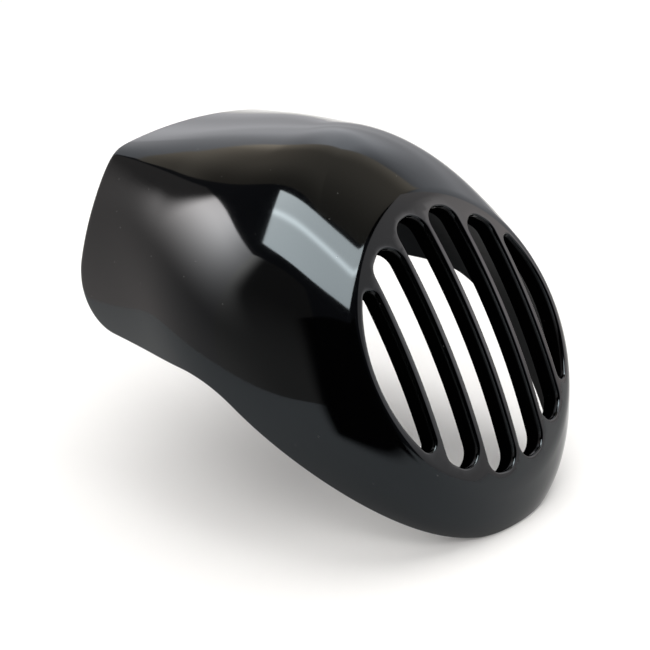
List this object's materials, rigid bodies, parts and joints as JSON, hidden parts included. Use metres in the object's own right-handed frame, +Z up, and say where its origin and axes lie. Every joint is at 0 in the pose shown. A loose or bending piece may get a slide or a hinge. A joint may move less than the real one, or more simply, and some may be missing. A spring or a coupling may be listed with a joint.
{
  "type": "headlight cowl",
  "caption": "Moulded gloss black motorbike headlight cowl with a domed, slotted grille face and swept rear wings.",
  "frame": {"origin": "middle of the bounding box's footprint, level with the chin's lowest rim", "axes": "+X across the motorbike to its left side, +Y rearwards, +Z up as worn: the grille faces -Y and leans back"},
  "size_m": [0.2372, 0.2635, 0.2056],
  "materials": {
    "gloss_black": "high gloss, injection moulded"
  },
  "bodies": {
    "root": {"cowl_shell": "gloss_black"}
  },
  "joints": []
}
